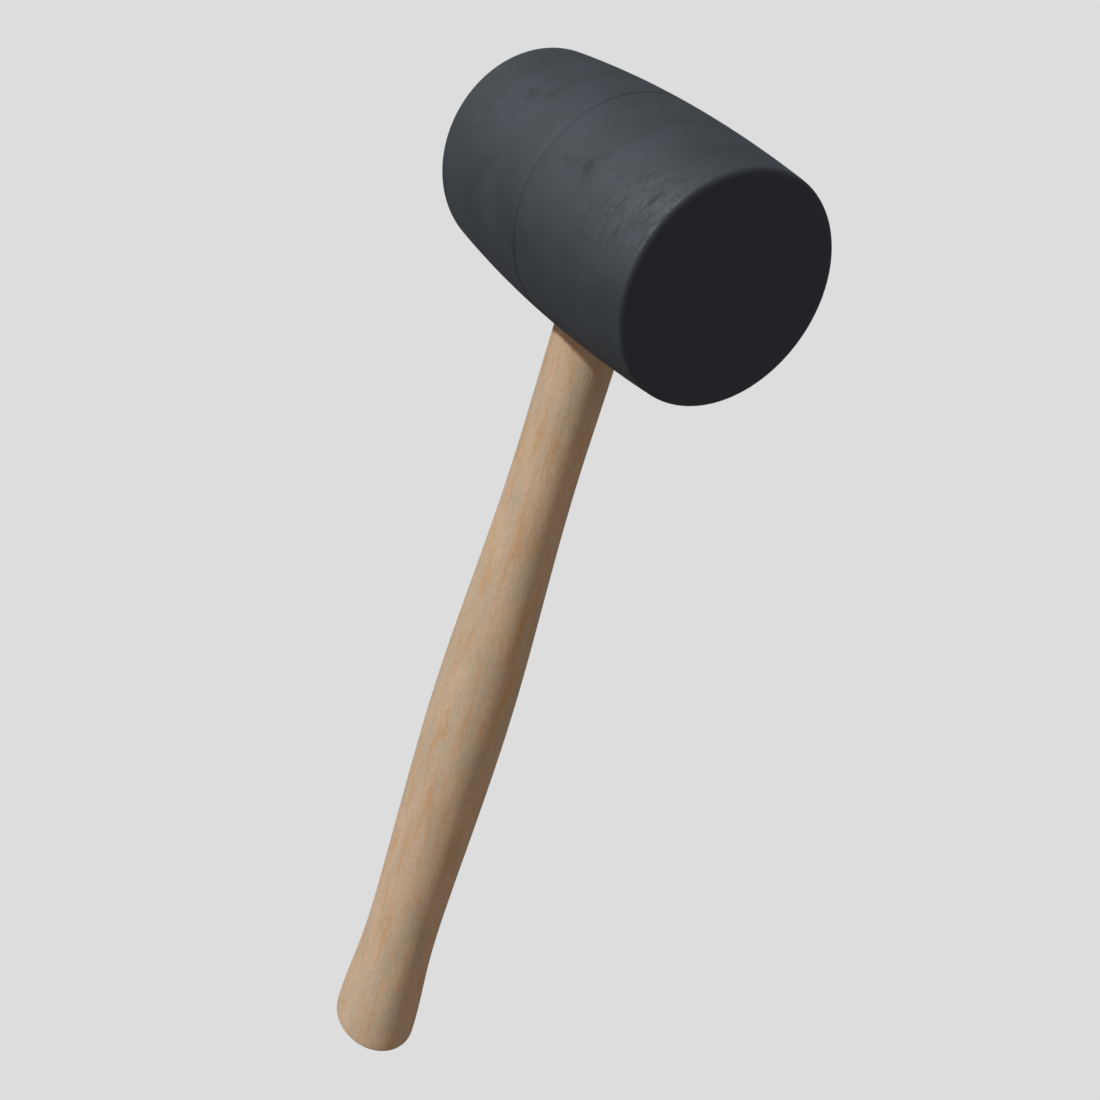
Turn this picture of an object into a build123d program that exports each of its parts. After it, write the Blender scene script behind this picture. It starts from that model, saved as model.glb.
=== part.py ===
"""Rubber mallet: a barrel head moulded in rubber, on an oval beech handle.

Millimetres.  +Z runs up the handle and +X along the head's axis.  The origin is the centre of
the handle's butt, so the mallet stands on the plane Z = 0 with its head on top.

The handle's upper end is a tenon in a blind eye.  A fox wedge in the tenon's saw kerf bears on
the eye's floor and spreads the tenon's tip, so that it can't pull back through the eye, and a
glue bond fills the gap all round.
"""

import os

from build123d import *

# ---- Head: a barrel along X, the same at both ends ----
head_length = 95.0  # from striking face to striking face
head_mid_diameter = 64.0  # at mid-length, where the barrel is fattest
head_end_diameter = 59.4  # where the side would meet the face if the rim weren't rounded
rim_radial = 2.8  # how far the rim's rounding reaches across the face
rim_axial = 1.2  # how far it reaches along the side
parting_width = 0.5  # the fine groove that the mould leaves round the middle
parting_depth = 0.3
crown_thickness = 12.0  # rubber left over the blind eye

# ---- Handle: every section is an oval, wider along the head than across it ----
# Each rise is the height of a station above the one before, starting at the butt.
oval_ratio = 1.17  # a section's width along X over its depth along Y
butt_depth = 27.3
butt_round_radial = 2.6  # the butt's rounded edge: how far it reaches across the flat end
butt_round_axial = 2.2  # and up the side
butt_waste = 2.0  # spare length of the turning, sawn off square at Z = 0
flare_rise = 34.0
flare_depth = 24.0
waist_rise = 32.0
waist_depth = 23.15
swell_rise = 54.0
swell_depth = 24.5
shoulder_rise = 35.0
shoulder_depth = 23.9
taper_rise = 51.0
taper_depth = 19.55
neck_rise = 34.0
neck_depth = 18.0
neck_length = 32.0  # straight neck from its station up to the head's underside

# ---- Blind joint between handle and head ----
kerf_depth = 26.0  # how deep the saw cut goes into the tenon's tip
kerf_width = 1.6
wedge_spread = 1.1  # how far the wedge pushes each cheek of the tenon outwards
wedge_tip_gap = 5.0  # empty kerf left below the wedge's tip
wedge_edge_gap = 1.2  # how far each edge of the wedge stays inside the tenon's oval
tenon_end_gap = 1.0  # from the tenon's tip to the eye's floor
glue_gap = 0.2  # glue between the tenon and the eye, all round
glue_start = 4.0  # how far inside the eye's mouth the glue begins

# ---- Worked out from the sizes above ----
head_radius = head_mid_diameter / 2
head_end_radius = head_end_diameter / 2
half_length = head_length / 2
flare_height = flare_rise
waist_height = flare_height + waist_rise
swell_height = waist_height + swell_rise
shoulder_height = swell_height + shoulder_rise
taper_height = shoulder_height + taper_rise
neck_height = taper_height + neck_rise
neck_y = neck_depth / 2
neck_x = neck_y * oval_ratio
eye_mouth = neck_height + neck_length
head_height = eye_mouth + head_radius  # the head's axis above the butt
eye_floor = head_height + head_radius - crown_thickness
tenon_tip = eye_floor - tenon_end_gap
kerf_root = tenon_tip - kerf_depth
spread_slope = wedge_spread / kerf_depth  # the cheeks' outward lean, per millimetre of height
wedge_tip = kerf_root + wedge_tip_gap


def spread_at(height):
    """How far a cheek of the tenon has moved outwards at a height above the kerf's root."""
    return spread_slope * (height - kerf_root)


def barrel_radius(x):
    """Radius of the barrel's side at a distance x from mid-length, as the arc's parabola."""
    return head_radius - (head_radius - head_end_radius) * (x / half_length) ** 2


# ---- Rubber head ----
groove_half = parting_width / 2
rim_start = half_length - rim_axial
face_radius = head_end_radius - rim_radial

with BuildPart() as rubber_head:
    with BuildSketch(Plane.XZ.shift_origin((0, 0, head_height))):
        with BuildLine() as barrel_outline:
            Line((-half_length, 0), (-half_length, face_radius))
            Bezier(
                (-half_length, face_radius),
                (-half_length, head_end_radius),
                (-rim_start, barrel_radius(rim_start)),
            )
            ThreePointArc(
                (-rim_start, barrel_radius(rim_start)),
                (-half_length / 2, barrel_radius(half_length / 2)),
                (-groove_half, head_radius),
            )
            Line((-groove_half, head_radius), (0, head_radius - parting_depth))
            mirror(barrel_outline.line, about=Plane.YZ)
            Line((-half_length, 0), (half_length, 0))
        make_face()
    revolve(axis=Axis((0, 0, head_height), (1, 0, 0)))

    # Eye: straight from below the head up to the kerf's root, then wider with the cheeks.
    with BuildSketch(Plane.XY.offset(eye_mouth - head_radius / 2)):
        Ellipse(neck_x + glue_gap, neck_y + glue_gap)
    extrude(amount=kerf_root - eye_mouth + head_radius / 2, mode=Mode.SUBTRACT)
    with BuildSketch(Plane.XY.offset(kerf_root)):
        Ellipse(neck_x + glue_gap, neck_y + glue_gap)
    with BuildSketch(Plane.XY.offset(eye_floor)):
        Ellipse(neck_x + glue_gap, neck_y + glue_gap + spread_at(eye_floor))
    loft(ruled=True, mode=Mode.SUBTRACT)

# ---- Handle ----
butt_y = butt_depth / 2

with BuildPart() as handle:
    # A round turning with the handle's depth, widened along X into the oval.
    with BuildSketch(Plane.XZ):
        with BuildLine():
            Line((0, -butt_waste), (butt_y - butt_round_radial, -butt_waste))
            Line((butt_y - butt_round_radial, -butt_waste), (butt_y - butt_round_radial, 0))
            Bezier(
                (butt_y - butt_round_radial, 0),
                (butt_y, 0),
                (butt_y, butt_round_axial),
            )
            Spline(
                (butt_y, butt_round_axial),
                (flare_depth / 2, flare_height),
                (waist_depth / 2, waist_height),
                (swell_depth / 2, swell_height),
                (shoulder_depth / 2, shoulder_height),
                (taper_depth / 2, taper_height),
                (neck_y, neck_height),
                tangents=[(0, 1), (0, 1)],
            )
            Line((neck_y, neck_height), (0, neck_height))
            Line((0, neck_height), (0, -butt_waste))
        make_face()
    revolve(axis=Axis.Z)
    scale(by=(oval_ratio, 1, 1))
    split(bisect_by=Plane.XY, keep=Keep.TOP)

    # Straight neck and tenon, up to the kerf's root, then the two spread cheeks.
    with BuildSketch(Plane.XY.offset(neck_height)):
        Ellipse(neck_x, neck_y)
    extrude(amount=kerf_root - neck_height)
    with BuildSketch(Plane.XY.offset(kerf_root)):
        Ellipse(neck_x, neck_y)
    with BuildSketch(Plane.XY.offset(tenon_tip)):
        Ellipse(neck_x, neck_y + spread_at(tenon_tip))
    loft(ruled=True)

    # Saw kerf, opened into a V by the wedge.
    with BuildSketch(Plane.YZ):
        with BuildLine():
            Polyline(
                (-kerf_width / 2, kerf_root),
                (kerf_width / 2, kerf_root),
                (kerf_width / 2 + spread_at(eye_floor), eye_floor),
                (-kerf_width / 2 - spread_at(eye_floor), eye_floor),
                close=True,
            )
        make_face()
    extrude(amount=2 * neck_x, both=True, mode=Mode.SUBTRACT)

# ---- Fox wedge: fills the V from its tip up to the eye's floor ----
with BuildPart() as fox_wedge:
    with BuildSketch(Plane.YZ):
        with BuildLine():
            Polyline(
                (-kerf_width / 2 - spread_at(wedge_tip), wedge_tip),
                (kerf_width / 2 + spread_at(wedge_tip), wedge_tip),
                (kerf_width / 2 + spread_at(eye_floor), eye_floor),
                (-kerf_width / 2 - spread_at(eye_floor), eye_floor),
                close=True,
            )
        make_face()
    extrude(amount=neck_x - wedge_edge_gap, both=True)

# ---- Glue bond: a sleeve round the tenon, closed over its tip except under the wedge ----
glue_bottom = eye_mouth + glue_start

with BuildPart() as glue_bond:
    with BuildSketch(Plane.XY.offset(glue_bottom)):
        Ellipse(neck_x + glue_gap, neck_y + glue_gap)
        Ellipse(neck_x, neck_y, mode=Mode.SUBTRACT)
    extrude(amount=kerf_root - glue_bottom)
    with BuildSketch(Plane.XY.offset(kerf_root)):
        Ellipse(neck_x + glue_gap, neck_y + glue_gap)
    with BuildSketch(Plane.XY.offset(eye_floor)):
        Ellipse(neck_x + glue_gap, neck_y + glue_gap + spread_at(eye_floor))
    loft(ruled=True)
    with BuildSketch(Plane.XY.offset(kerf_root)):
        Ellipse(neck_x, neck_y)
    with BuildSketch(Plane.XY.offset(tenon_tip)):
        Ellipse(neck_x, neck_y + spread_at(tenon_tip))
    loft(ruled=True, mode=Mode.SUBTRACT)
    add(fox_wedge.part, mode=Mode.SUBTRACT)

# ---- One file for each piece ----
os.makedirs("parts", exist_ok=True)

rubber_head.part.label = "rubber_head"
export_step(rubber_head.part, "parts/rubber_head.step")
handle.part.label = "handle"
export_step(handle.part, "parts/handle.step")
fox_wedge.part.label = "fox_wedge"
export_step(fox_wedge.part, "parts/fox_wedge.step")
glue_bond.part.label = "glue_bond"
export_step(glue_bond.part, "parts/glue_bond.step")
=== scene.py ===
"""Looks of the rubber mallet: moulded head, beech handle, hidden wedge and glue, light and camera.

Metres, in the part's own frame: +Z up the handle, +X along the head's axis, origin at the butt.
Patterns in the finishes are sized in millimetres, since grain and scuffs are.
"""

from __future__ import annotations

import logging
import math
from dataclasses import dataclass
from enum import Enum
from functools import reduce
from typing import Any, Iterable, Mapping, NamedTuple, Sequence

import bmesh
import bpy
import numpy as np
from mathutils import Matrix, Vector
from mathutils.geometry import interpolate_bezier

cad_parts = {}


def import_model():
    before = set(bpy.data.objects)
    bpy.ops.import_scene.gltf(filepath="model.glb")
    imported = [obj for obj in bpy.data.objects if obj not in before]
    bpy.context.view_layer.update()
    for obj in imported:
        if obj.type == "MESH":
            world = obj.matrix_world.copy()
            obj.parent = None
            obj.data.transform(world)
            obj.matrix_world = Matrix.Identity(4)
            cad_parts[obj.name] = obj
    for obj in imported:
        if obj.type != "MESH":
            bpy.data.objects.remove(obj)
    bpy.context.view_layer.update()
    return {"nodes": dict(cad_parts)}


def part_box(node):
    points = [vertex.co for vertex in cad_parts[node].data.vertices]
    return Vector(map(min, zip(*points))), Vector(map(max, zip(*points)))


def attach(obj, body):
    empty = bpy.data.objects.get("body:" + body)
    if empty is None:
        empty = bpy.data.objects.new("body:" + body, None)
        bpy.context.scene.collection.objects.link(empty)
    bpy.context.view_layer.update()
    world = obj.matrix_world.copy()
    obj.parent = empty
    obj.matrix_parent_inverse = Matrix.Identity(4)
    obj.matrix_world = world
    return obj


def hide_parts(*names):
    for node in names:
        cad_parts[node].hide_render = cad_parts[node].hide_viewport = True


LOG = logging.getLogger("mallet")
ROOT_BODY = "root"
MM = 0.001
MERGE_DISTANCE = 1e-7
SHARP_ANGLE = 38.0  # degrees between two faces, past which their edge is shaded sharp
HEAD_AXIS = Vector((1.0, 0.0, 0.0))
HANDLE_AXIS = Vector((0.0, 0.0, 1.0))

Colour = tuple[float, float, float]


class Node(str, Enum):
    """The frame's CAD nodes."""

    HEAD = "rubber_head"
    HANDLE = "handle"
    WEDGE = "fox_wedge"
    GLUE = "glue_bond"


class Slot(str, Enum):
    """The record's material slots."""

    RUBBER = "head_rubber"
    WOOD = "handle_wood"
    WEDGE = "wedge_wood"
    GLUE = "glue"


# ---------------------------------------------------------------------------------------------
# Shader trees
# ---------------------------------------------------------------------------------------------
class Value:
    """One number in a shader tree, on which Python arithmetic adds Math nodes."""

    def __init__(self, tree: ShaderTree, socket: bpy.types.NodeSocket) -> None:
        """Wraps a socket.

        Args:
            tree: The shader tree that the socket belongs to.
            socket: The output socket to wrap.
        """
        self.tree = tree
        self.socket = socket

    def __add__(self, other: Value | float) -> Value:
        """Sum with a number or another value."""
        return self.tree.math("ADD", self, other)

    def __radd__(self, other: float) -> Value:
        """Sum, with the value on the right."""
        return self.tree.math("ADD", other, self)

    def __sub__(self, other: Value | float) -> Value:
        """Difference from a number or another value."""
        return self.tree.math("SUBTRACT", self, other)

    def __rsub__(self, other: float) -> Value:
        """Difference, with the value on the right."""
        return self.tree.math("SUBTRACT", other, self)

    def __mul__(self, other: Value | float) -> Value:
        """Product with a number or another value."""
        return self.tree.math("MULTIPLY", self, other)

    def __rmul__(self, other: float) -> Value:
        """Product, with the value on the right."""
        return self.tree.math("MULTIPLY", other, self)

    def __truediv__(self, other: Value | float) -> Value:
        """Quotient by a number or another value."""
        return self.tree.math("DIVIDE", self, other)

    def __pow__(self, other: Value | float) -> Value:
        """Power."""
        return self.tree.math("POWER", self, other)

    def __abs__(self) -> Value:
        """Size without its sign."""
        return self.tree.math("ABSOLUTE", self)

    def step(self, low: float, high: float) -> Value:
        """A smooth step between two thresholds.

        Args:
            low: Where the step is still 0.
            high: Where it reaches 1. It may be less than low, and then the step falls.

        Returns:
            The step, from 0 to 1.
        """
        made = self.tree.node(
            "ShaderNodeMapRange",
            {"interpolation_type": "SMOOTHSTEP", "clamp": True},
            {"Value": self, "From Min": low, "From Max": high},
        )
        return Value(self.tree, made.outputs["Result"])


class ShaderTree:
    """The nodes of a material or a world, with short ways to add them."""

    def __init__(self, owner: bpy.types.Material | bpy.types.World) -> None:
        """Turns the owner's nodes on and clears them.

        Args:
            owner: The new material or world.
        """
        owner.use_nodes = True
        self.owner = owner
        self.tree = owner.node_tree
        self.tree.nodes.clear()

    @classmethod
    def for_material(cls, name: str) -> ShaderTree:
        """Makes an empty material of that name, and its tree."""
        return cls(bpy.data.materials.new(name))

    def node(
        self,
        kind: str,
        settings: Mapping[str, Any] | None = None,
        values: Mapping[str | int, Any] | None = None,
    ) -> bpy.types.Node:
        """Adds a node, sets it up and fills its sockets.

        Args:
            kind: The node's type, such as ShaderNodeTexNoise.
            settings: The node's own properties, which are set first.
            values: Socket name or number, to a number, tuple, socket or Value.

        Returns:
            The node.
        """
        made = self.tree.nodes.new(kind)
        for key, setting in (settings or {}).items():
            setattr(made, key, setting)
        for key, value in (values or {}).items():
            self.feed(made.inputs[key], value)
        return made

    def feed(self, socket: bpy.types.NodeSocket, value: Any) -> None:
        """Links or sets one input.

        Args:
            socket: The input socket.
            value: A Value or socket to link, or a constant to set.
        """
        if isinstance(value, Value):
            value = value.socket
        if isinstance(value, bpy.types.NodeSocket):
            self.tree.links.new(value, socket)
        elif socket.type == "RGBA":
            socket.default_value = (*value, 1.0)
        else:
            socket.default_value = value

    def math(self, operation: str, first: Value | float, second: Value | float = 0.0) -> Value:
        """Adds a Math node.

        Args:
            operation: The node's operation.
            first: First operand.
            second: Second operand, which a one-operand operation ignores.

        Returns:
            The result.
        """
        made = self.node("ShaderNodeMath", {"operation": operation}, {0: first, 1: second})
        return Value(self, made.outputs[0])

    def strongest(self, masks: Iterable[Value]) -> Value:
        """The largest of several masks at each point."""
        return reduce(lambda first, second: self.math("MAXIMUM", first, second), masks)

    def mix(self, factor: Value | float, first: Any, second: Any) -> Any:
        """Mixes two colours.

        Args:
            factor: Share of the second colour, from 0 to 1.
            first: First colour, as a tuple or a socket.
            second: Second colour.

        Returns:
            The mixed colour's socket.
        """
        settings = {"data_type": "RGBA", "blend_type": "MIX", "clamp_factor": True}
        return self.node("ShaderNodeMix", settings, {0: factor, 6: first, 7: second}).outputs[2]

    def millimetres(self, centre: Vector, turn: float = 0.0) -> bpy.types.NodeSocket:
        """Object coordinates in millimetres from a centre.

        Args:
            centre: The centre, in metres.
            turn: Turn about Z through the object's origin, in radians.

        Returns:
            The vector's socket.
        """
        values = {
            "Vector": self.node("ShaderNodeTexCoord").outputs["Object"],
            "Location": centre * (-1 / MM),
            "Rotation": Vector((0.0, 0.0, turn)),
            "Scale": Vector((1.0, 1.0, 1.0)) / MM,
        }
        return self.node("ShaderNodeMapping", {"vector_type": "POINT"}, values).outputs[0]

    def vector_math(self, operation: str, *operands: Any) -> bpy.types.Node:
        """Adds a Vector Math node.

        Args:
            operation: The node's operation.
            *operands: Its operands.

        Returns:
            The node, whose first output is a vector and second a number.
        """
        return self.node("ShaderNodeVectorMath", {"operation": operation}, dict(enumerate(operands)))

    def split(self, vector: Any) -> tuple[Value, Value, Value]:
        """A vector's three numbers."""
        outputs = self.node("ShaderNodeSeparateXYZ", None, {0: vector}).outputs
        return Value(self, outputs[0]), Value(self, outputs[1]), Value(self, outputs[2])

    def join(self, along: Value | float, across: Value | float, up: Value | float) -> Any:
        """A vector from three numbers."""
        return self.node("ShaderNodeCombineXYZ", None, {0: along, 1: across, 2: up}).outputs[0]

    def noise(self, vector: Any, stretch: Sequence[float], detail: float, rough: float) -> Value:
        """Fractal noise.

        Args:
            vector: The pattern's coordinates.
            stretch: Features per unit of each coordinate.
            detail: Number of finer octaves.
            rough: Strength of each finer octave.

        Returns:
            The noise, mostly from 0.3 to 0.7.
        """
        scaled = self.vector_math("MULTIPLY", vector, Vector(stretch)).outputs[0]
        values = {"Vector": scaled, "Scale": 1.0, "Detail": detail, "Roughness": rough}
        return Value(self, self.node("ShaderNodeTexNoise", None, values).outputs[0])

    def specks(self, vector: Any, stretch: Sequence[float], size: float, share: float) -> Value:
        """Separate small spots, one in some of the cells of a Voronoi pattern.

        Args:
            vector: The pattern's coordinates.
            stretch: Cells per unit of each coordinate.
            size: Radius of a spot, in cells.
            share: The share of cells that has a spot.

        Returns:
            A mask that is 1 in the spots.
        """
        scaled = self.vector_math("MULTIPLY", vector, Vector(stretch)).outputs[0]
        cells = self.node("ShaderNodeTexVoronoi", {"feature": "F1"}, {"Vector": scaled, "Scale": 1.0})
        chosen = self.split(cells.outputs["Color"])[0].step(share, share * 0.9)
        return Value(self, cells.outputs["Distance"]).step(size, size * 0.35) * chosen

    def bump(self, height: Value, depth: float) -> bpy.types.NodeSocket:
        """A normal from a height.

        Args:
            height: The height, of which 1 stands for the depth.
            depth: Depth in metres.

        Returns:
            The normal's socket.
        """
        values = {"Height": height, "Distance": depth, "Strength": 1.0}
        return self.node("ShaderNodeBump", None, values).outputs[0]

    def principled(self, values: Mapping[str, Any]) -> bpy.types.Material:
        """Ends the tree in a Principled surface.

        Args:
            values: Socket name to a constant, a socket or a Value.

        Returns:
            The finished material.
        """
        shader = self.node("ShaderNodeBsdfPrincipled", None, values)
        self.node("ShaderNodeOutputMaterial", None, {"Surface": shader.outputs[0]})
        return self.owner


# ---------------------------------------------------------------------------------------------
# Finishes
# ---------------------------------------------------------------------------------------------
@dataclass(frozen=True)
class Smudge:
    """A dark ragged spot on the rubber, in millimetres from the head's centre."""

    place: tuple[float, float, float]
    reach: float
    strength: float


@dataclass(frozen=True)
class Scratch:
    """A fine dark score round the barrel: millimetres along it, then degrees down from its top."""

    along: float
    start: float
    end: float
    width: float
    strength: float


class BarrelSkin:
    """Where a point lies on the barrel, in millimetres, and the noises that its marks share.

    The face's finish begins FACE_STARTS before the barrel's end and is full FACE_FULL before it.
    """

    FACE_STARTS = 0.45
    FACE_FULL = 0.02
    BELOW_ONE = 0.9999  # keeps a cosine inside what the arc cosine takes

    def __init__(self, tree: ShaderTree, centre: Vector, half_length: float) -> None:
        """Adds the nodes that every mark reads.

        Args:
            tree: The material's nodes.
            centre: The barrel's centre, in metres.
            half_length: Half the barrel's length, in metres.
        """
        self.tree = tree
        self.here = tree.millimetres(centre)
        self.along, across, up = tree.split(self.here)
        out = (across * across + up * up) ** 0.5
        self.sine = across / out
        self.cosine = up / out
        half = half_length / MM
        self.face = abs(self.along).step(half - self.FACE_STARTS, half - self.FACE_FULL)
        self.side = 1.0 - self.face

        self.mottle = tree.noise(self.here, (0.07, 0.07, 0.07), 3.0, 0.5)
        self.cloud = tree.noise(self.here, (0.42, 0.42, 0.42), 4.0, 0.62)
        self.grain = tree.noise(self.here, (2.2, 2.2, 2.2), 2.0, 0.6)
        self.crumbs = tree.noise(self.here, (1.1, 1.1, 1.1), 3.0, 0.6)
        self.ragged = self.cloud * 2.6 + self.crumbs * 2.2 - 2.4
        self.wander = self.along + (self.mottle - 0.5) * 6.0 + (self.cloud - 0.5) * 1.2

    def turned_from(self, degrees: float) -> Value:
        """How far a point is turned round the barrel from a direction.

        Args:
            degrees: The direction, down from the barrel's top towards -Y.

        Returns:
            The angle between them, in degrees, never negative.
        """
        away = math.radians(degrees)
        nearness = self.cosine * math.cos(away) - self.sine * math.sin(away)
        return self.tree.math("ARCCOSINE", nearness * self.BELOW_ONE) * math.degrees(1.0)

    def smudged(self, smudge: Smudge) -> Value:
        """Where a smudge lies.

        Args:
            smudge: The smudge.

        Returns:
            A mask from 0 to the smudge's strength.
        """
        apart = self.tree.vector_math("DISTANCE", self.here, Vector(smudge.place)).outputs[1]
        reach = Value(self.tree, apart) / smudge.reach
        return (reach + self.ragged).step(1.15, 0.15) * smudge.strength

    def scratched(self, scratch: Scratch) -> Value:
        """Where a scratch lies.

        Args:
            scratch: The scratch.

        Returns:
            A mask from 0 to the scratch's strength.
        """
        turned = self.turned_from((scratch.start + scratch.end) / 2)
        reach = (scratch.end - scratch.start) / 2
        line = abs(self.wander - scratch.along).step(scratch.width, scratch.width * 0.2)
        return line * turned.step(reach, reach * 0.5) * self.side * scratch.strength


class Wear(NamedTuple):
    """What use has done to the rubber, with a painted highlight by the front rim, as masks."""

    wear_and_highlight: Value
    gloss_and_highlight: Value
    marks: Value


@dataclass(frozen=True)
class MouldedRubber:
    """Charcoal rubber: a dusty satin side, scored and scuffed by the front rim, and darker faces, with a
    painted highlight by the front rim and painted shade in the parting groove.
    """

    centre: Vector
    half_length: float
    dusty: Colour = (0.023, 0.033, 0.041)
    plain: Colour = (0.015, 0.022, 0.028)
    # Dark dirt in the marks and grain, and painted shade in the parting groove.
    grime_and_shade: Colour = (0.002, 0.003, 0.004)
    struck: Colour = (0.0150, 0.0230, 0.0420)
    # Lighter near the front rim on the lit side: partly real polish, partly a painted highlight.
    polish_and_highlight: Colour = (0.043, 0.056, 0.066)
    roughness: float = 0.725
    relief: float = 0.04 * MM
    scuff_angle: float = 62.0
    scuff_radius: float = 30.0
    smudges: tuple[Smudge, ...] = (
        Smudge((17.0, -27.3, 16.1), 3.2, 0.58),
        Smudge((12.8, -27.9, 15.4), 2.8, 0.42),
        Smudge((18.1, -24.9, 19.6), 2.2, 0.35),
        Smudge((20.2, -28.6, 13.4), 1.8, 0.35),
        Smudge((9.2, -28.3, 14.7), 2.2, 0.35),
        Smudge((-21.5, -22.9, 21.7), 3.2, 0.48),
        Smudge((-15.5, -21.0, 23.8), 2.4, 0.35),
        Smudge((-20.7, -27.0, 16.3), 1.6, 0.25),
    )
    scratches: tuple[Scratch, ...] = (
        Scratch(41.2, 48.0, 60.0, 0.55, 0.70),
        Scratch(33.7, 44.0, 55.0, 0.50, 0.60),
        Scratch(33.9, 57.0, 72.0, 0.55, 0.45),
        Scratch(29.6, 60.0, 71.0, 0.50, 0.35),
        Scratch(37.6, 66.0, 79.0, 0.50, 0.35),
        Scratch(43.2, 58.0, 68.0, 0.60, 0.45),
        Scratch(26.0, 66.0, 80.0, 0.45, 0.30),
        Scratch(38.4, 30.0, 42.0, 0.45, 0.25),
    )

    def wear(self, skin: BarrelSkin) -> Wear:
        """Streaks and real shine with a painted highlight by the front rim, small pocks, smudges and
        scratches.

        Args:
            skin: The barrel's surface.

        Returns:
            The masks.
        """
        tree = skin.tree
        turned = skin.turned_from(self.scuff_angle)
        around = tree.join(skin.along, skin.sine * self.scuff_radius, skin.cosine * self.scuff_radius)
        broken = skin.crumbs - 0.5
        streaks = tree.noise(around, (0.95, 0.16, 0.16), 4.0, 0.62) + broken * 0.35
        pocks = skin.cloud + broken * 0.5

        # The front of the side that faces the key light: real wear streaks there, and a small painted
        # highlight lift.
        wear_and_highlight = skin.along.step(15.0, 40.0) * turned.step(34.0, 12.0) * skin.side
        flecked = abs(skin.along).step(2.0, 24.0) * turned.step(60.0, 25.0) * skin.side
        # Nearer the rim on that side: real gloss, and a painted highlight in the colour.
        gloss_and_highlight = streaks.step(0.47, 0.38) * skin.side
        gloss_and_highlight = gloss_and_highlight * skin.along.step(26.0, 43.0) * turned.step(24.0, 8.0)

        marks = [streaks.step(0.51, 0.64) * wear_and_highlight * 0.40, pocks.step(0.54, 0.68) * flecked * 0.34]
        marks += [skin.smudged(smudge) for smudge in self.smudges]
        marks += [skin.scratched(scratch) for scratch in self.scratches]
        return Wear(wear_and_highlight, gloss_and_highlight, tree.strongest(marks))

    def material(self) -> bpy.types.Material:
        """Builds the finish.

        Returns:
            The material.
        """
        tree = ShaderTree.for_material("moulded_rubber")
        skin = BarrelSkin(tree, self.centre, self.half_length)
        wear = self.wear(skin)
        planed = tree.noise(skin.here, (0.02, 0.55, 0.05), 3.0, 0.55)
        struck = tree.mix(planed.step(0.35, 0.65) * 0.5, self.struck, self.plain)
        groove_shade = abs(skin.along).step(0.75, 0.10)

        colour = tree.mix(skin.mottle.step(0.32, 0.68), self.plain, self.dusty)
        colour = tree.mix((skin.cloud - 0.30) * 0.5, colour, self.dusty)
        # Painted highlight: lighter by the front rim on the side that faces the key light, partly real
        # polish.
        colour = tree.mix(wear.gloss_and_highlight * 0.35 + wear.wear_and_highlight * 0.12, colour, self.polish_and_highlight)
        colour = tree.mix(wear.marks, colour, self.grime_and_shade)
        colour = tree.mix((skin.grain - 0.45) * 0.6, colour, self.grime_and_shade)
        # Painted shade: darker along the parting groove.
        colour = tree.mix(groove_shade * 0.26, colour, self.grime_and_shade)
        colour = tree.mix(skin.face, colour, struck)

        rough = self.roughness + (skin.mottle - 0.5) * 0.10 + (skin.grain - 0.5) * 0.08
        height = skin.grain * 0.4 + skin.cloud * 0.5 - wear.marks * 1.5
        return tree.principled(
            {
                "Base Color": colour,
                "Roughness": rough + wear.marks * 0.16 - wear.gloss_and_highlight * 0.06,
                "IOR": 1.80,
                "Normal": tree.bump(height, self.relief),
            }
        )


@dataclass(frozen=True)
class Beech:
    """Sanded beech: tan and greyer patches drawn out along the grain, short fibres, fine flecks.

    The pattern is turned about the handle's axis by turn, in degrees.  The grain sways aside by
    up to about half of sway_reach, in millimetres, sway_rate times in each millimetre.
    """

    name: str
    pale: Colour = (0.640, 0.468, 0.314)
    tan: Colour = (0.615, 0.366, 0.182)
    grey: Colour = (0.525, 0.430, 0.310)
    fleck: Colour = (0.260, 0.165, 0.095)
    roughness: float = 0.62
    relief: float = 0.08 * MM
    turn: float = 24.0
    sway_reach: float = 3.5
    sway_rate: float = 0.045

    def along_grain(self, tree: ShaderTree) -> bpy.types.NodeSocket:
        """Coordinates that sway as the grain does.

        Args:
            tree: The material's nodes.

        Returns:
            The vector's socket, in millimetres.
        """
        straight = tree.millimetres(Vector(), math.radians(self.turn))
        values = {"Vector": straight, "Scale": self.sway_rate, "Detail": 2.0}
        aside = tree.node("ShaderNodeTexNoise", None, values).outputs["Color"]
        aside = tree.vector_math("SUBTRACT", aside, Vector((0.5, 0.5, 0.5))).outputs[0]
        reach = Vector((self.sway_reach, self.sway_reach, 0.0))
        aside = tree.vector_math("MULTIPLY", aside, reach).outputs[0]
        return tree.vector_math("ADD", straight, aside).outputs[0]

    def material(self) -> bpy.types.Material:
        """Builds the finish.

        Returns:
            The material.
        """
        tree = ShaderTree.for_material(self.name)
        here = self.along_grain(tree)
        patches = tree.noise(here, (0.15, 0.15, 0.040), 3.0, 0.5)
        blots = tree.noise(here, (0.38, 0.38, 0.050), 4.0, 0.6)
        veins = tree.noise(here, (0.95, 0.95, 0.17), 3.0, 0.6)
        fibres = tree.noise(here, (2.8, 2.8, 0.36), 3.0, 0.7)
        flecks = tree.specks(here, (1.5, 1.5, 0.34), 0.30, 0.45)

        colour = tree.mix(patches.step(0.42, 0.62) * 0.7, self.pale, self.grey)
        colour = tree.mix(blots.step(0.47, 0.70) * 0.90, colour, self.tan)
        colour = tree.mix(veins.step(0.48, 0.70) * 0.20, colour, self.tan)
        colour = tree.mix(flecks * 0.35, colour, self.fleck)
        colour = tree.mix((fibres - 0.37) * 0.95, colour, self.fleck)

        rough = self.roughness + (fibres - 0.5) * 0.25 + flecks * 0.10
        height = fibres - flecks * 0.5
        return tree.principled(
            {
                "Base Color": colour,
                "Roughness": rough,
                "IOR": 1.4,
                "Normal": tree.bump(height, self.relief),
            }
        )


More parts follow.
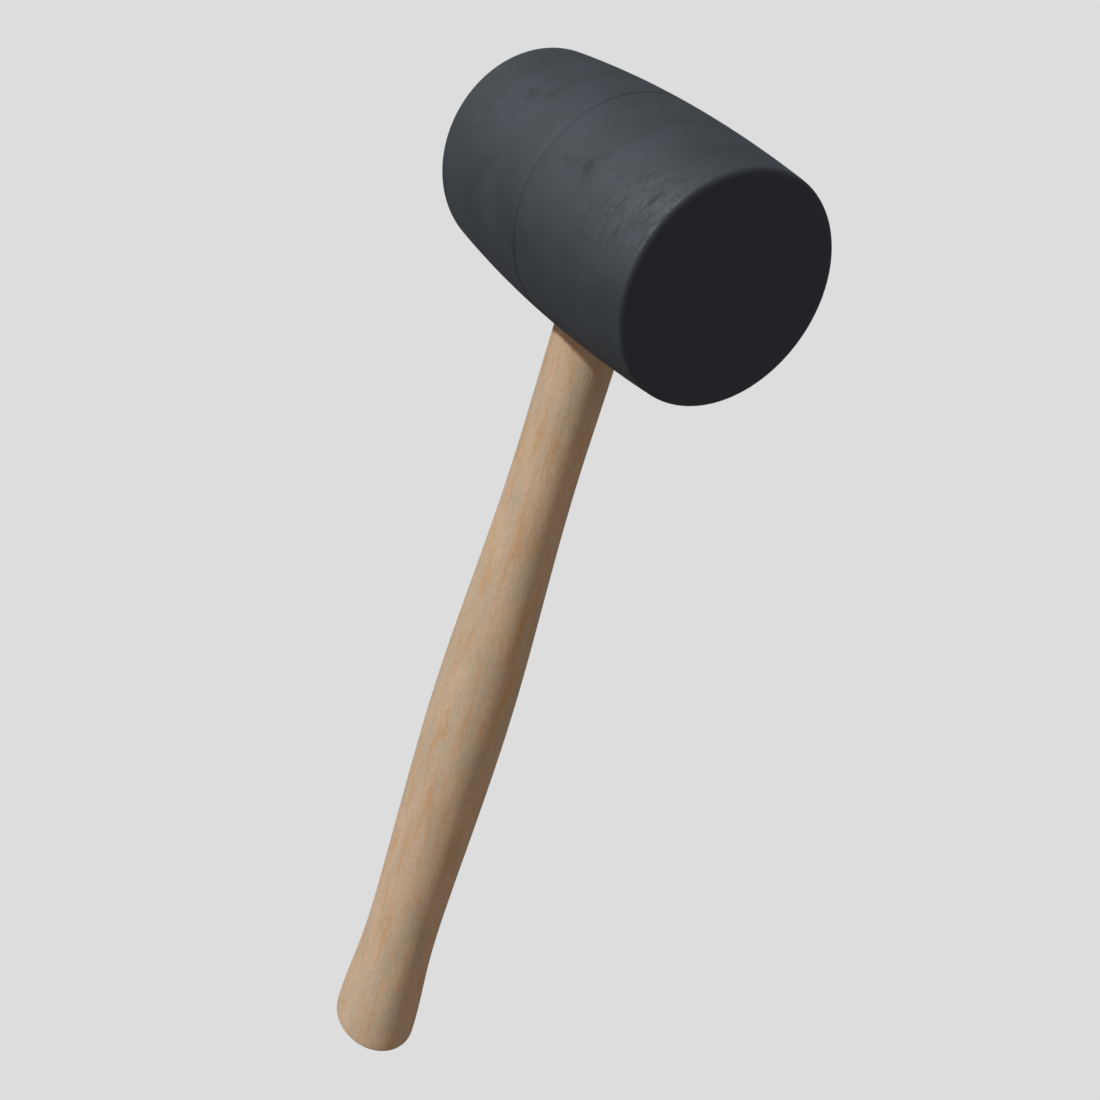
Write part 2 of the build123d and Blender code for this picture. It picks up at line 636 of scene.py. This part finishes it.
@dataclass(frozen=True)
class CuredGlue:
    """Amber glue, set hard, with small bubbles and cloudier patches."""

    clear: Colour = (0.520, 0.330, 0.120)
    cloudy: Colour = (0.640, 0.500, 0.270)
    relief: float = 0.05 * MM

    def material(self) -> bpy.types.Material:
        """Builds the finish.

        Returns:
            The material.
        """
        tree = ShaderTree.for_material("cured_glue")
        here = tree.millimetres(Vector())
        patches = tree.noise(here, (0.30, 0.30, 0.18), 4.0, 0.6)
        bubbles = tree.specks(here, (1.2, 1.2, 1.2), 0.30, 0.5)
        colour = tree.mix(patches.step(0.40, 0.62), self.clear, self.cloudy)
        colour = tree.mix(bubbles * 0.6, colour, self.cloudy)
        return tree.principled(
            {
                "Base Color": colour,
                "Roughness": 0.28 + patches * 0.2,
                "IOR": 1.5,
                "Normal": tree.bump(1.0 - bubbles, self.relief),
            }
        )


# ---------------------------------------------------------------------------------------------
# Meshes
# ---------------------------------------------------------------------------------------------
def run(start: Vector, end: Vector, steps: int) -> list[Vector]:
    """Points along a straight run, without its start.

    Args:
        start: Where the run starts.
        end: Where it ends.
        steps: Number of edges.

    Returns:
        The points.
    """
    return [start.lerp(end, step / steps) for step in range(1, steps + 1)]


def bend(start: Vector, towards: Vector, back: Vector, end: Vector, steps: int) -> list[Vector]:
    """Points along a Bezier curve, without its start.

    Args:
        start: Where the curve starts.
        towards: The start's handle.
        back: The end's handle.
        end: Where it ends.
        steps: Number of edges.

    Returns:
        The points.
    """
    return interpolate_bezier(start, towards, back, end, steps + 1)[1:]


def beside_handle(out: float, height: float) -> Vector:
    """A point on the -Y side of the handle's axis."""
    return Vector((0.0, -out, height))


def spin(outline: Sequence[Vector], centre: Vector, axis: Vector, sides: int) -> bmesh.types.BMesh:
    """Spins an open outline right round an axis.

    Args:
        outline: The outline's points, which may start or end on the axis.
        centre: A point on the axis.
        axis: The axis.
        sides: Number of sides.

    Returns:
        The mesh, closed at its poles and with its faces turned outwards.
    """
    work = bmesh.new()
    corners = [work.verts.new(point) for point in outline]
    edges = [work.edges.new(pair) for pair in zip(corners, corners[1:])]
    bmesh.ops.spin(
        work,
        geom=corners + edges,
        cent=centre,
        axis=axis,
        angle=math.tau,
        steps=sides,
        use_merge=True,
    )
    bmesh.ops.remove_doubles(work, verts=work.verts, dist=MERGE_DISTANCE)
    bmesh.ops.recalc_face_normals(work, faces=work.faces)
    return work


def make_object(name: str, work: bmesh.types.BMesh) -> bpy.types.Object:
    """Turns a bmesh into an object in the scene.

    Args:
        name: The object's name.
        work: The bmesh, which is freed.

    Returns:
        The object, at the origin.
    """
    mesh = bpy.data.meshes.new(name)
    work.to_mesh(mesh)
    work.free()
    made = bpy.data.objects.new(name, mesh)
    bpy.context.scene.collection.objects.link(made)
    return made


def carve(piece: bpy.types.Object, cutter: bpy.types.Object) -> None:
    """Cuts one object out of another, and removes the cutter.

    Args:
        piece: The object that is cut.
        cutter: A closed object that takes the material away.
    """
    cut = piece.modifiers.new("cut", "BOOLEAN")
    cut.operation = "DIFFERENCE"
    cut.solver = "EXACT"
    cut.object = cutter
    graph = bpy.context.evaluated_depsgraph_get()
    mesh = bpy.data.meshes.new_from_object(piece.evaluated_get(graph))
    piece.modifiers.clear()
    old = piece.data
    piece.data = mesh
    mesh.name = old.name
    bpy.data.meshes.remove(old)
    bpy.data.objects.remove(cutter)


def dress(piece: bpy.types.Object, finish: bpy.types.Material) -> None:
    """Gives a piece its finish and smooth shading, with edges sharp past SHARP_ANGLE.

    Args:
        piece: The piece.
        finish: Its material.
    """
    piece.data.materials.clear()
    piece.data.materials.append(finish)
    piece.data.shade_smooth()
    piece.data.set_sharp_from_angle(angle=math.radians(SHARP_ANGLE))


# ---------------------------------------------------------------------------------------------
# Sub-assemblies
# ---------------------------------------------------------------------------------------------
@dataclass
class RubberHead:
    """The moulded barrel: soft rims, a parting groove and a blind oval eye.

    The eye is straight for eye_straight above its mouth.  From there to its floor, at eye_length,
    each side along Y leans outwards by eye_spread, as the wedged tenon does.
    """

    centre: Vector
    half_length: float
    radius: float
    end_radius: float = 29.7 * MM
    rim_radial: float = 2.8 * MM
    rim_axial: float = 1.2 * MM
    groove_half: float = 0.56 * MM
    groove_depth: float = 0.30 * MM
    eye_width: float = 21.46 * MM
    eye_depth: float = 18.4 * MM
    eye_spread: float = 1.142 * MM
    eye_straight: float = 25.0 * MM
    eye_length: float = 52.0 * MM
    lip: float = 0.6 * MM
    flange_width: float = 5.0 * MM
    flange_depth: float = 4.0 * MM
    sides: int = 160
    groove_edges: int = 5
    side_edges: int = 22
    rim_edges: int = 12
    face_edges: int = 6
    eye_sides: int = 96
    lip_edges: int = 4

    @classmethod
    def from_frame(cls) -> RubberHead:
        """Takes the barrel's place and size from its CAD node.

        Returns:
            The head, not built yet.
        """
        _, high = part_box(Node.HEAD.value)
        radius = high.y
        return cls(Vector((0.0, 0.0, high.z - radius)), high.x, radius)

    @property
    def mouth(self) -> float:
        """Height of the barrel's underside, where the eye opens."""
        return self.centre.z - self.radius

    def side_point(self, along: float) -> Vector:
        """A point of the barrel's side, which is an arc drawn as its parabola."""
        fall = (self.radius - self.end_radius) * (along / self.half_length) ** 2
        return self.centre + Vector((along, 0.0, self.radius - fall))

    def side_step(self, along: float, length: float) -> Vector:
        """The step that follows the side's slope for a length along the barrel."""
        slope = -2 * (self.radius - self.end_radius) * along / self.half_length**2
        return Vector((length, 0.0, slope * length))

    def outline(self) -> list[Vector]:
        """The front half's outline, from the groove's bottom to the middle of the striking face.

        Returns:
            The points.
        """
        stop = self.half_length - self.rim_axial
        third = (stop - self.groove_half) / 3
        bottom = self.centre + Vector((0.0, 0.0, self.radius - self.groove_depth))
        shoulder = self.side_point(self.groove_half)
        rim = self.side_point(stop)
        middle = self.centre + Vector((self.half_length, 0.0, 0.0))
        corner = middle + Vector((0.0, 0.0, self.end_radius))
        edge = middle + Vector((0.0, 0.0, self.end_radius - self.rim_radial))

        points = [bottom]
        points += bend(
            bottom,
            bottom + Vector((self.groove_half * 0.3, 0.0, 0.0)),
            shoulder - Vector((self.groove_half * 0.6, 0.0, 0.0)),
            shoulder,
            self.groove_edges,
        )
        points += bend(
            shoulder,
            shoulder + self.side_step(self.groove_half, third),
            rim - self.side_step(stop, third),
            rim,
            self.side_edges,
        )
        points += bend(rim, rim.lerp(corner, 2 / 3), edge.lerp(corner, 2 / 3), edge, self.rim_edges)
        points += run(edge, middle, self.face_edges)
        return points

    def eye_outline(self) -> list[Vector]:
        """The eye's outline on its depth, from below the head to its floor.

        Its mouth is rounded, and the flange under it takes the lip's sharp edge away.

        Returns:
            The points.
        """
        at = beside_handle
        depth = self.eye_depth / 2
        below = self.mouth - self.flange_depth
        outside = depth + self.flange_width
        points = [at(0.0, below), at(outside, below)]
        points += [at(outside, self.mouth - 3 * self.lip), at(depth + self.lip, self.mouth)]
        points += bend(
            points[-1],
            at(depth + self.lip * 0.45, self.mouth + self.lip * 0.1),
            at(depth, self.mouth + self.lip * 0.45),
            at(depth, self.mouth + self.lip),
            self.lip_edges,
        )
        floor = self.mouth + self.eye_length
        points += [at(depth, self.mouth + self.eye_straight), at(depth, floor), at(0.0, floor)]
        return points

    def eye(self) -> bpy.types.Object:
        """The blind oval eye as a closed cutter, whose mouth follows the barrel's round underside.

        Returns:
            The cutter.
        """
        work = spin(self.eye_outline(), Vector(), HANDLE_AXIS, self.eye_sides)
        oval = Vector((self.eye_width / self.eye_depth, 1.0, 1.0))
        bmesh.ops.scale(work, vec=oval, verts=work.verts)
        widening = 1 + 2 * self.eye_spread / self.eye_depth
        for corner in work.verts:
            if corner.co.z > self.mouth + self.eye_length - MM:
                corner.co.y *= widening
            elif corner.co.z < self.mouth + 2 * self.lip:
                height = math.sqrt(self.radius**2 - min(corner.co.y, self.radius) ** 2)
                corner.co.z += self.radius - height
        return make_object("eye_cutter", work)

    def build(self) -> bpy.types.Object:
        """Builds the head and puts it on the frame.

        Returns:
            The head.
        """
        work = spin(self.outline(), self.centre, HEAD_AXIS, self.sides)
        front = work.verts[:] + work.edges[:] + work.faces[:]
        bmesh.ops.mirror(work, geom=front, axis="X", merge_dist=MERGE_DISTANCE)
        bmesh.ops.recalc_face_normals(work, faces=work.faces)
        piece = make_object("rubber_head_moulded", work)
        carve(piece, self.eye())
        dress(piece, MouldedRubber(self.centre, self.half_length).material())
        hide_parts(Node.HEAD.value)
        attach(piece, ROOT_BODY)
        return piece


@dataclass
class Handle:
    """The oval handle: flared butt, waist, swell, straight neck, and a tenon with its saw kerf.

    A station is a height above the butt, then the handle's depth there, from -Y to +Y.
    """

    top: float
    butt_width: float
    butt_depth: float
    butt_round_radial: float = 2.6 * MM
    butt_round_axial: float = 2.2 * MM
    stations: tuple[tuple[float, float], ...] = (
        (34.0 * MM, 24.0 * MM),
        (66.0 * MM, 23.15 * MM),
        (120.0 * MM, 24.5 * MM),
        (155.0 * MM, 23.9 * MM),
        (206.0 * MM, 19.55 * MM),
        (240.0 * MM, 18.0 * MM),
    )
    kerf_depth: float = 26.0 * MM
    kerf_width: float = 1.6 * MM
    spread: float = 1.1 * MM
    sides: int = 128
    butt_edges: int = 6
    round_edges: int = 10
    station_edges: int = 12
    neck_edges: int = 8

    @classmethod
    def from_frame(cls) -> Handle:
        """Takes the handle's overall size from its CAD node.

        Returns:
            The handle, not built yet.
        """
        low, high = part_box(Node.HANDLE.value)
        return cls(high.z, high.x - low.x, high.y - low.y)

    def slopes(self, heights: np.ndarray, radii: np.ndarray) -> np.ndarray:
        """Slopes that make one smooth curve through the stations, upright at both ends.

        Args:
            heights: The stations' heights.
            radii: The radius at each.

        Returns:
            The change of radius with height at each station.
        """
        gaps = np.diff(heights)
        rises = np.diff(radii) / gaps
        rows = np.eye(len(heights))
        wanted = np.zeros(len(heights))
        for i in range(1, len(heights) - 1):
            rows[i, i - 1 : i + 2] = gaps[i], 2 * (gaps[i - 1] + gaps[i]), gaps[i - 1]
            wanted[i] = 3 * (rises[i - 1] * gaps[i] + rises[i] * gaps[i - 1])
        return np.linalg.solve(rows, wanted)

    def outline(self) -> list[Vector]:
        """The handle's outline on its depth, from the middle of the butt to the tenon's tip.

        Returns:
            The points.
        """
        at = beside_handle
        butt = self.butt_depth / 2
        flat = at(butt - self.butt_round_radial, 0.0)
        corner = at(butt, 0.0)
        upper = at(butt, self.butt_round_axial)
        points = [Vector()] + run(Vector(), flat, self.butt_edges)
        points += bend(flat, flat.lerp(corner, 2 / 3), upper.lerp(corner, 2 / 3), upper, self.round_edges)

        heights = np.array([self.butt_round_axial] + [height for height, _ in self.stations])
        radii = np.array([butt] + [depth / 2 for _, depth in self.stations])
        slopes = self.slopes(heights, radii)
        for i in range(len(heights) - 1):
            third = (heights[i + 1] - heights[i]) / 3
            points += bend(
                at(radii[i], heights[i]),
                at(radii[i] + slopes[i] * third, heights[i] + third),
                at(radii[i + 1] - slopes[i + 1] * third, heights[i + 1] - third),
                at(radii[i + 1], heights[i + 1]),
                self.station_edges,
            )
        points += run(points[-1], at(radii[-1], self.top - self.kerf_depth), self.neck_edges)
        points += [at(radii[-1], self.top), at(0.0, self.top)]
        return points

    def kerf(self) -> bpy.types.Object:
        """The saw kerf as a closed cutter, wider at the top where the wedge opens it.

        Returns:
            The cutter.
        """
        work = bmesh.new()
        bmesh.ops.create_cube(work, size=1.0)
        height = self.kerf_depth + MM
        bmesh.ops.scale(work, vec=Vector((self.butt_width, self.kerf_width, height)), verts=work.verts)
        bmesh.ops.translate(work, vec=(0.0, 0.0, self.top + MM - height / 2), verts=work.verts)
        opened = self.kerf_width + 2 * self.spread * height / self.kerf_depth
        above = [corner for corner in work.verts if corner.co.z > self.top]
        bmesh.ops.scale(work, vec=Vector((1.0, opened / self.kerf_width, 1.0)), verts=above)
        return make_object("kerf_cutter", work)

    def build(self) -> bpy.types.Object:
        """Builds the handle and puts it on the frame.

        Returns:
            The handle.
        """
        work = spin(self.outline(), Vector(), HANDLE_AXIS, self.sides)
        oval = Vector((self.butt_width / self.butt_depth, 1.0, 1.0))
        bmesh.ops.scale(work, vec=oval, verts=work.verts)
        _, neck_depth = self.stations[-1]
        tip = [corner for corner in work.verts if corner.co.z > self.top - MM]
        bmesh.ops.scale(work, vec=Vector((1.0, 1 + 2 * self.spread / neck_depth, 1.0)), verts=tip)
        piece = make_object("handle_beech", work)
        carve(piece, self.kerf())
        dress(piece, Beech("sanded_beech").material())
        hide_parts(Node.HANDLE.value)
        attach(piece, ROOT_BODY)
        return piece


@dataclass
class BlindJoint:
    """The fox wedge and the glue inside the head, which keep their CAD shapes."""

    nodes: Mapping[str, bpy.types.Object]
    wedge: Beech = Beech(
        "wedge_hardwood",
        pale=(0.330, 0.200, 0.105),
        tan=(0.260, 0.140, 0.065),
        grey=(0.300, 0.200, 0.125),
        fleck=(0.130, 0.070, 0.035),
        roughness=0.6,
    )
    glue: CuredGlue = CuredGlue()

    def build(self) -> list[bpy.types.Object]:
        """Gives both nodes their finishes.

        Returns:
            The nodes.
        """
        finishes = {Node.WEDGE: (self.wedge, Slot.WEDGE), Node.GLUE: (self.glue, Slot.GLUE)}
        pieces = []
        for node, (finish, slot) in finishes.items():
            piece = self.nodes[node.value]
            piece.data.materials.clear()
            piece.data.materials.append(finish.material())
            pieces.append(piece)
        return pieces


# ---------------------------------------------------------------------------------------------
# Studio
# ---------------------------------------------------------------------------------------------
@dataclass
class Studio:
    """A plain pale floor that runs out of sight, soft light all round and one key light."""

    floor_size: float = 60.0
    floor_drop: float = 0.2 * MM
    pale: Colour = (0.723, 0.723, 0.723)
    fill_above: Colour = (0.325, 0.277, 0.242)
    fill_below: Colour = (0.268, 0.226, 0.196)
    gloss_above: Colour = (0.184, 0.190, 0.210)
    gloss_below: Colour = (0.138, 0.143, 0.162)
    key_from: tuple[float, float, float] = (-0.138, -0.781, 0.609)
    key_strength: float = 2.58
    key_colour: Colour = (1.0, 1.045, 1.10)
    key_spread: float = 4.0

    def build_floor(self) -> bpy.types.Object:
        """Builds the floor, which is seen from above only and casts no light on the mallet.

        Returns:
            The floor.
        """
        work = bmesh.new()
        bmesh.ops.create_grid(work, x_segments=1, y_segments=1, size=self.floor_size)
        bmesh.ops.translate(work, vec=(0.0, 0.0, -self.floor_drop), verts=work.verts)
        floor = make_object("studio_floor", work)
        tree = ShaderTree.for_material("studio_floor")
        glow = tree.node("ShaderNodeEmission", None, {"Color": self.pale, "Strength": 1.0})
        clear = tree.node("ShaderNodeBsdfTransparent")
        under = tree.node("ShaderNodeNewGeometry").outputs["Backfacing"]
        values = {0: under, 1: glow.outputs[0], 2: clear.outputs[0]}
        shader = tree.node("ShaderNodeMixShader", None, values)
        tree.node("ShaderNodeOutputMaterial", None, {"Surface": shader.outputs[0]})
        floor.data.materials.append(tree.owner)
        floor.visible_diffuse = False
        floor.visible_glossy = False
        floor.visible_shadow = False
        return floor

    def build_surround(self) -> None:
        """Builds the soft light all round, behind which the camera sees the floor's tone."""
        world = bpy.data.worlds.new("studio")
        bpy.context.scene.world = world
        tree = ShaderTree(world)
        rise = tree.split(tree.node("ShaderNodeTexCoord").outputs["Generated"])[2]
        height = rise.step(-1.0, 1.0)
        fill = tree.mix(height, self.fill_below, self.fill_above)
        gloss = tree.mix(height, self.gloss_below, self.gloss_above)
        path = tree.node("ShaderNodeLightPath").outputs
        fill = tree.mix(Value(tree, path["Is Glossy Ray"]), fill, gloss)
        light = tree.node("ShaderNodeBackground", None, {"Color": fill})
        seen = tree.node("ShaderNodeBackground", None, {"Color": self.pale})
        values = {0: path["Is Camera Ray"], 1: light.outputs[0], 2: seen.outputs[0]}
        mixed = tree.node("ShaderNodeMixShader", None, values)
        tree.node("ShaderNodeOutputWorld", None, {"Surface": mixed.outputs[0]})

    def build_key(self) -> bpy.types.Object:
        """Builds the key light.

        Returns:
            The light.
        """
        data = bpy.data.lights.new("key", "SUN")
        data.energy = self.key_strength
        data.color = self.key_colour
        data.angle = math.radians(self.key_spread)
        key = bpy.data.objects.new("key", data)
        bpy.context.scene.collection.objects.link(key)
        key.rotation_euler = Vector(self.key_from).to_track_quat("Z", "Y").to_euler()
        return key

    def build(self) -> None:
        """Builds the floor, the surround and the key light."""
        self.build_floor()
        self.build_surround()
        self.build_key()
        bpy.context.scene.view_settings.view_transform = "Standard"


@dataclass
class Camera:
    """A camera above and in front of the head, rolled so that the handle leans across the frame."""

    place: tuple[float, float, float] = (0.27228, -0.20647, 0.38720)
    ahead: tuple[float, float, float] = (-0.69055, 0.55033, -0.46933)
    top: tuple[float, float, float] = (-0.54214, 0.03570, 0.83953)
    view_angle: float = 45.0
    near: float = 10.0 * MM

    def build(self) -> bpy.types.Object:
        """Builds the camera and makes it the scene's.

        Returns:
            The camera.
        """
        data = bpy.data.cameras.new("camera")
        data.sensor_fit = "HORIZONTAL"
        data.angle = math.radians(self.view_angle)
        data.clip_start = self.near
        camera = bpy.data.objects.new("camera", data)
        back = -Vector(self.ahead).normalized()
        right = Vector(self.top).cross(back).normalized()
        turn = Matrix((right, back.cross(right), back)).transposed().to_4x4()
        camera.matrix_world = Matrix.Translation(self.place) @ turn
        bpy.context.scene.collection.objects.link(camera)
        bpy.context.scene.camera = camera
        return camera


def report(pieces: Iterable[bpy.types.Object]) -> None:
    """Logs each piece's name, faces and box.

    Args:
        pieces: The pieces.
    """
    for piece in pieces:
        size = [round(side / MM, 2) for side in piece.dimensions]
        LOG.info("%s: %d faces, %s mm", piece.name, len(piece.data.polygons), size)


def main() -> None:
    """Builds the mallet, its studio and its camera."""
    logging.basicConfig(level=logging.INFO, format="%(name)s: %(message)s")
    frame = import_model()
    report([RubberHead.from_frame().build(), Handle.from_frame().build()])
    report(BlindJoint(frame["nodes"]).build())
    Studio().build()
    Camera().build()


if __name__ == "__main__":
    main()
